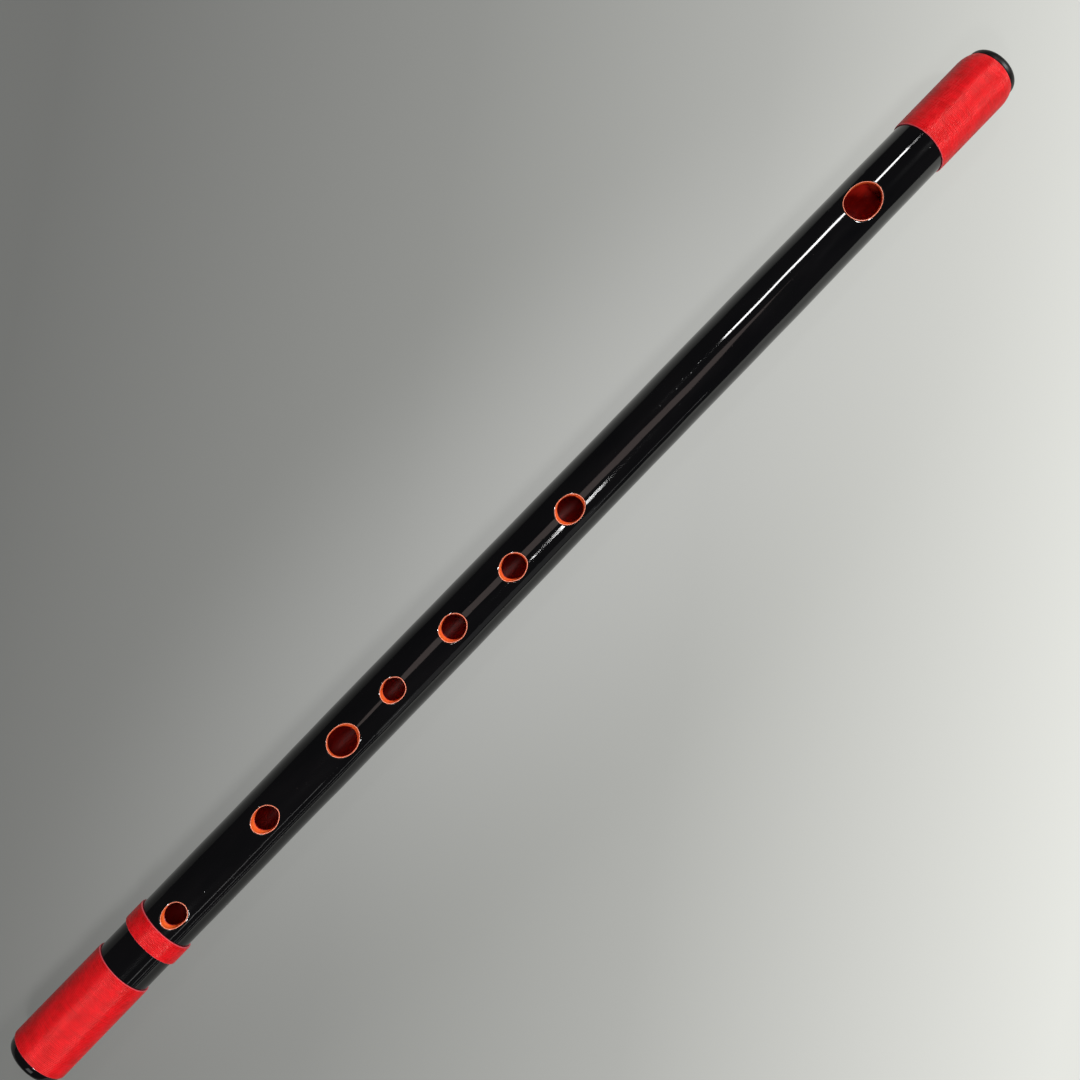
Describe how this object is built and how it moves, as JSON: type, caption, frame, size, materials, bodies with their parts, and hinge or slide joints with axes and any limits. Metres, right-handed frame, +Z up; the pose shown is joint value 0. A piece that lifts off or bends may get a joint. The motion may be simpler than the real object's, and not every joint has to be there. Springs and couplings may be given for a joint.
{
  "type": "bamboo flute",
  "caption": "Side-blown bamboo flute: a lacquered tube with a mouth hole and finger holes in one line, thread bindings near both ends and a closed, capped head.",
  "frame": {"origin": "point of the resting surface under the middle of the flute's length, as it lies on its bindings with the holes facing up", "axes": "+X along the tube from the open foot end to the capped head, +Y across the tube, +Z up through the holes"},
  "size_m": [0.4506, 0.0208, 0.0209],
  "materials": {
    "bamboo": "bare culm, hidden by lacquer",
    "black_lacquer": "polished black lacquer",
    "red_lacquer": "brushed vermilion lacquer",
    "hole_red": "brushed vermilion lacquer on hand-cut walls",
    "red_thread": "close-wound twisted thread with a satin sheen",
    "beeswax": "wax under red lacquer",
    "cork": "turned plug",
    "paper": "tightly rolled paper",
    "cap_lacquer": "black lacquer over turned wood"
  },
  "bodies": {
    "root": {"bamboo_tube": "bamboo", "outer_lacquer": "black_lacquer", "bore_lacquer": "red_lacquer", "foot_binding": "red_thread", "ring_binding": "red_thread", "head_binding": "red_thread", "wax_seal": "beeswax", "head_stopper": "cork", "head_packing": "paper", "head_cap": "cap_lacquer", "finger_hole_1_coat": "hole_red", "finger_hole_2_coat": "hole_red", "finger_hole_3_coat": "hole_red", "finger_hole_4_coat": "hole_red", "finger_hole_5_coat": "hole_red", "finger_hole_6_coat": "hole_red", "finger_hole_7_coat": "hole_red", "mouth_hole_coat": "hole_red"}
  },
  "joints": []
}
